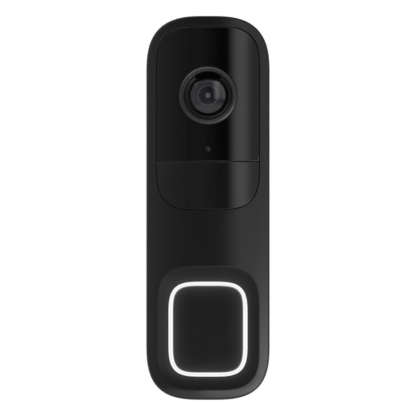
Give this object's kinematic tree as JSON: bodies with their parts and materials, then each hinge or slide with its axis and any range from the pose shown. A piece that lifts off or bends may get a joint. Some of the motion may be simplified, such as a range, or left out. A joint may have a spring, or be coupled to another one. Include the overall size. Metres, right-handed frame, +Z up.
{
  "type": "video doorbell",
  "caption": "Tall rounded wall doorbell with a bowed black front, a camera and motion window above, a lit push button below and a wall plate behind.",
  "frame": {"origin": "middle of the wall plate's back face, on the wall", "axes": "+Z up along the long side, +Y into the wall; the camera and the button face -Y"},
  "size_m": [0.0444, 0.0305, 0.1378],
  "materials": {
    "housing_plastic": "satin black",
    "gloss_panel": "gloss black",
    "motion_window": "semi-gloss black",
    "inner_plastic": "matte",
    "light_guide": "frosted",
    "clear_plastic": "clear",
    "lens_glass": "coated",
    "filter_glass": "coated",
    "circuit_board": "green lacquer",
    "chip": "satin",
    "shield": "tinned",
    "steel": "satin",
    "brass": "plain",
    "copper": "enamelled wire",
    "silicone": "matte",
    "battery": "wrapped",
    "flex": "polyimide"
  },
  "bodies": {
    "plate": {"wall_plate": "housing_plastic"},
    "doorbell": {"rear_cover": "housing_plastic", "front_housing": "housing_plastic", "housing_gasket": "silicone", "housing_screw_top_left": "steel", "housing_screw_top_right": "steel", "housing_screw_bottom_left": "steel", "housing_screw_bottom_right": "steel", "camera_panel": "gloss_panel", "motion_window": "motion_window", "camera_bezel": "gloss_panel", "lens_barrel": "inner_plastic", "lens_front_element": "lens_glass", "lens_inner_element": "lens_glass", "lens_holder": "inner_plastic", "filter_motor": "copper", "camera_board": "circuit_board", "image_sensor": "chip", "front_board": "circuit_board", "infrared_led_left": "clear_plastic", "infrared_led_right": "clear_plastic", "microphone": "shield", "microphone_boot": "silicone", "status_light_pipe": "clear_plastic", "main_board": "circuit_board", "processor_shield": "shield", "radio_shield": "shield", "antenna": "brass", "battery_connector": "inner_plastic", "motion_sensor": "shield", "battery_cell": "battery", "battery_lead": "silicone", "camera_flex_cable": "flex", "front_flex_cable": "flex", "light_ring": "light_guide", "ring_led_top": "clear_plastic", "ring_led_bottom": "clear_plastic", "ring_led_left": "clear_plastic", "ring_led_right": "clear_plastic", "button_switch": "inner_plastic", "button_seal": "silicone", "speaker_frame": "inner_plastic", "speaker_magnet": "steel", "speaker_gasket": "silicone", "terminal_block": "inner_plastic", "terminal_screw_left": "brass", "terminal_screw_right": "brass", "tamper_switch": "inner_plastic"},
    "button": {"button_cap": "housing_plastic"},
    "plunger": {"switch_plunger": "light_guide"},
    "shuttle": {"filter_shuttle": "inner_plastic", "clear_filter_glass": "filter_glass", "infrared_cut_glass": "filter_glass"},
    "lever": {"filter_lever": "inner_plastic"},
    "cone": {"speaker_diaphragm": "silicone", "speaker_voice_coil": "copper"},
    "tamper": {"tamper_plunger": "inner_plastic"},
    "lock_seal": {"security_screw_seal": "silicone"},
    "lock_screw": {"security_screw": "steel"}
  },
  "joints": [
    {"name": "doorbell_release", "type": "slide", "parent": "plate", "child": "doorbell", "axis": [0, -1, 0], "range_m": [0, 0.04]},
    {"name": "tamper_release", "type": "slide", "parent": "doorbell", "child": "tamper", "axis": [0, 1, 0], "range_m": [0, 0.002]},
    {"name": "button_press", "type": "slide", "parent": "doorbell", "child": "button", "axis": [0, 1, 0], "range_m": [0, 0.0008], "stiffness_N_per_m": 2500, "springref_m": -0.0002},
    {"name": "switch_press", "type": "slide", "parent": "doorbell", "child": "plunger", "axis": [0, 1, 0], "range_m": [0, 0.0008]},
    {"name": "filter_shift", "type": "slide", "parent": "doorbell", "child": "shuttle", "axis": [1, 0, 0], "range_m": [0, 0.005]},
    {"name": "filter_lever_swing", "type": "hinge", "parent": "doorbell", "child": "lever", "pos_m": [0, -0.015, 0.051], "axis": [0, -1, 0], "range_deg": [0, 53.1]},
    {"name": "cone_throw", "type": "slide", "parent": "doorbell", "child": "cone", "axis": [0, 0, -1], "range_m": [-0.0003, 0.0003], "stiffness_N_per_m": 600},
    {"name": "lock_travel", "type": "slide", "parent": "doorbell", "child": "lock_seal", "axis": [0, 0, 1], "range_m": [0, 0.0018]},
    {"name": "lock_turn", "type": "hinge", "parent": "lock_seal", "child": "lock_screw", "pos_m": [0, -0.0055, -0.0687], "axis": [0, 0, 1], "range_deg": [0, 1290]}
  ],
  "couplings": [
    {"joint": "tamper_release", "follows": "doorbell_release", "ratio": 0.05},
    {"joint": "switch_press", "follows": "button_press", "ratio": 1},
    {"joint": "filter_lever_swing", "follows": "filter_shift", "rad_per_m": 185.12},
    {"joint": "lock_turn", "follows": "lock_travel", "rad_per_m": 12508}
  ]
}
